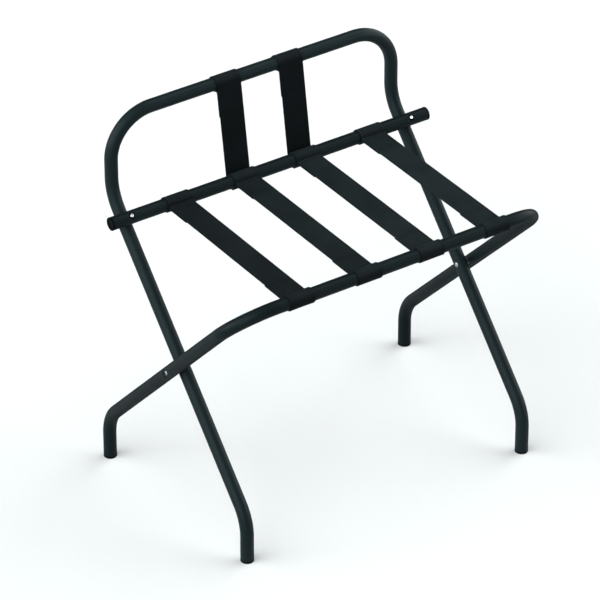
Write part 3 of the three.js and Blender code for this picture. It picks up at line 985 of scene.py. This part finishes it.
def web_shape(path, centre_x, width):
    """A band swept along the path, with rounded edges and heat-cut ends."""
    shape = Shape()
    section = web_section(width)
    count = len(section)
    lengths = [0.0]
    for a, b in zip(path, path[1:]):
        lengths.append(lengths[-1] + (b - a).length)
    rings, normals = [], []
    for k, point in enumerate(path):
        ahead = path[min(k + 1, len(path) - 1)] - path[max(k - 1, 0)]
        ahead.normalize()
        normal = Vector((-ahead.y, ahead.x))
        normals.append(normal)
        rings.append(shape.add(
            (centre_x + x, point.x + normal.x * h, point.y + normal.y * h)
            for x, h in section))

    def corner(k, i):
        x, h = section[i]
        # The third value is painted top light, from how far the face turns upward.
        return x, lengths[k], top_light_share(normals[k].y * math.copysign(1, h))

    for k in range(len(rings) - 1):
        for i in range(count):
            j = (i + 1) % count
            uv = [corner(k, i), corner(k, j), corner(k + 1, j), corner(k + 1, i)]
            shape.face([rings[k][i], rings[k][j], rings[k + 1][j], rings[k + 1][i]], 0, uv)
    for ring, point, inner in ((rings[0][::-1], path[0], path[1]),
                               (rings[-1], path[-1], path[-2])):
        outward = (point - inner).normalized()
        middle = Vector((centre_x, point.x, point.y))
        push = Vector((0, outward.x, outward.y)) * 0.35 * MM
        offsets = [shape.points[i] - middle for i in ring]
        shrunk = shape.add(middle + Vector((o.x * 0.99, o.y * 0.7, o.z * 0.7)) + push
                           for o in offsets)
        shape.bridge(ring, shrunk)
        shape.fan(shrunk, middle + push)
    return shape


def add_stitch(shape, start, end, up):
    """One raised stitch of thread, sunk into the web at both ends."""
    radius = THREAD_RADIUS
    along = (end - start).normalized()
    aside = along.cross(up).normalized()
    rings = []
    for share, lift, size in ((0.0, -0.8, 0.5), (0.2, 0.25, 1.0), (0.5, 0.5, 1.1),
                              (0.8, 0.25, 1.0), (1.0, -0.8, 0.5)):
        middle = start.lerp(end, share) + up * radius * lift
        rings.append(shape.add(
            middle + (aside * math.cos(k * math.pi / 3) + up * math.sin(k * math.pi / 3))
            * radius * size for k in range(6)))
    for one, two in zip(rings, rings[1:]):
        shape.bridge(one, two, THREAD_FINISH)
    shape.face(rings[0][::-1], THREAD_FINISH)
    shape.face(rings[-1], THREAD_FINISH)


def stitch_row(shape, start, end, up):
    count = max(1, round((end - start).length / STITCH_PITCH))
    step = (end - start) / count
    trim = step.normalized() * STITCH_GAP / 2
    for i in range(count):
        add_stitch(shape, start + step * i + trim, start + step * (i + 1) - trim, up)


def stitch_box(shape, corner, across, along, up):
    """A sewn rectangle with a second row across its far end."""
    near, far = corner, corner + along
    rows = [(near, near + across), (far, far + across), (near, far),
            (near + across, far + across)]
    inner = far - along.normalized() * SECOND_ROW
    rows.append((inner, inner + across))
    for start, end in rows:
        stitch_row(shape, start, end, up)


def sew_seat_laps(shape, centre_x, width):
    """Both faces of each lap, between the loop and the lap's end."""
    top = TOP_LAYER_RISE + SEWN_FACE
    under = TOP_LAYER_RISE - LAYER_PITCH - SEWN_FACE
    across = Vector((width - 2 * SEWN_MARGIN, 0, 0))
    for bar, inward in ((place["crossbar"], -1), (place["front_bar"], 1)):
        along = Vector((0, inward * (STRAP_LAP - SEWN_SHORTER), 0))
        for height, up in ((top, Vector((0, 0, 1))), (under, Vector((0, 0, -1)))):
            corner = bar + Vector((centre_x - across.x / 2, inward * SEWN_START, height))
            stitch_box(shape, corner, across, along, up)


def sew_back_lap(shape, centre_x, width, arch, rearward, downward):
    """Both faces of a back strap's lap, on the rear side of the arch."""
    across = Vector((width - 2 * SEWN_MARGIN, 0, 0))
    lift = Vector((0, rearward.x, rearward.y))
    down = Vector((0, downward.x, downward.y))
    base = Vector((centre_x - across.x / 2, arch.x, arch.y)) + down * SEWN_START
    along = down * (BACK_STRAP_LAP - SEWN_SHORTER)
    for offset, up in ((LAYER_PITCH - LOOP_RADIUS + SEWN_FACE, lift),
                       (-LOOP_RADIUS - SEWN_FACE, -lift)):
        stitch_box(shape, base + lift * offset, across, along, up)


def make_seat_straps():
    path = seat_path()
    for number in range(1, 5):
        node = f"seat_strap_{number}"
        width, centre_x = width_and_middle(node)
        shape = web_shape(path, centre_x, width)
        sew_seat_laps(shape, centre_x, width)
        strap = shape.build(node + "_look", [SEAT_WEBBING, THREAD], 50)
        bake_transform(strap)
        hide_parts(node)


def make_back_straps():
    path, arch, rearward, downward = back_path()
    for word, _ in SIDES:
        node = f"back_strap_{word}"
        width, centre_x = width_and_middle(node)
        shape = web_shape(path, centre_x, width)
        sew_back_lap(shape, centre_x, width, arch, rearward, downward)
        # The back webbing's darker tone is painted shade.
        strap = finish_piece(shape, node, [BACK_WEBBING_SHADED, THREAD], "back_frame",
                             sharp_degrees=50)


# ---------------------------------------------------------------- floor, lights and camera

def make_floor():
    mesh = bpy.data.meshes.new("floor")
    reach = FLOOR_REACH
    mesh.from_pydata([(-reach, -reach, 0), (reach, -reach, 0), (reach, reach, 0),
                      (-reach, reach, 0)], [], [(0, 1, 2, 3)])
    n = Nodes("floor_pale")
    mesh.materials.append(n.set(Base_Color=FLOOR_COLOUR, Roughness=0.9, Specular_IOR_Level=0.1))
    floor = bpy.data.objects.new("floor", mesh)
    bpy.context.scene.collection.objects.link(floor)


def towards(azimuth, elevation):
    """The direction from the rack to a view at these angles, in degrees."""
    a, e = math.radians(azimuth), math.radians(elevation)
    return Vector((math.sin(a) * math.cos(e), -math.cos(a) * math.cos(e), math.sin(e)))


def aim(obj, position, target):
    obj.location = position
    obj.rotation_mode = "QUATERNION"
    obj.rotation_quaternion = (Vector(target) - Vector(position)).to_track_quat("-Z", "Y")


def add_soft_sun(name, azimuth, elevation, strength, spread):
    """An even, soft light from one direction, named as a view's azimuth and elevation are."""
    light = bpy.data.lights.new(name, "SUN")
    light.energy = strength
    light.angle = math.radians(spread)
    sun = bpy.data.objects.new(name, light)
    bpy.context.scene.collection.objects.link(sun)
    aim(sun, towards(azimuth, elevation) * 5, (0, 0, 0))


def make_lights():
    """A pale room and a ring of large soft lights, low all round and higher on both sides."""
    world = bpy.data.worlds.new("studio")
    world.use_nodes = True
    background = world.node_tree.nodes["Background"]
    background.inputs["Color"].default_value = ROOM_COLOUR
    background.inputs["Strength"].default_value = ROOM_STRENGTH
    bpy.context.scene.world = world
    for number, (round_from_camera, *light) in enumerate(STUDIO_LIGHTS, 1):
        add_soft_sun(f"soft_light_{number}", VIEW_AZIMUTH + round_from_camera, *light)
    bpy.context.scene.view_settings.view_transform = "Standard"


def make_camera():
    """A long lens that looks down on the rack from its front left."""
    lens = bpy.data.cameras.new("camera")
    lens.sensor_width = SENSOR_WIDTH
    lens.lens = LENS
    camera = bpy.data.objects.new("camera", lens)
    bpy.context.scene.collection.objects.link(camera)
    position = VIEW_TARGET + towards(VIEW_AZIMUTH, VIEW_ELEVATION) * VIEW_DISTANCE
    aim(camera, position, VIEW_TARGET)
    bpy.context.scene.camera = camera


def write_sizes():
    bpy.context.view_layer.update()


make_camera()
make_lights()
make_floor()
make_back_frame()
make_front_frame()
make_crossbar()
make_caps()
make_pivots()
make_crossbar_fastenings()
make_seat_straps()
make_back_straps()
write_sizes()
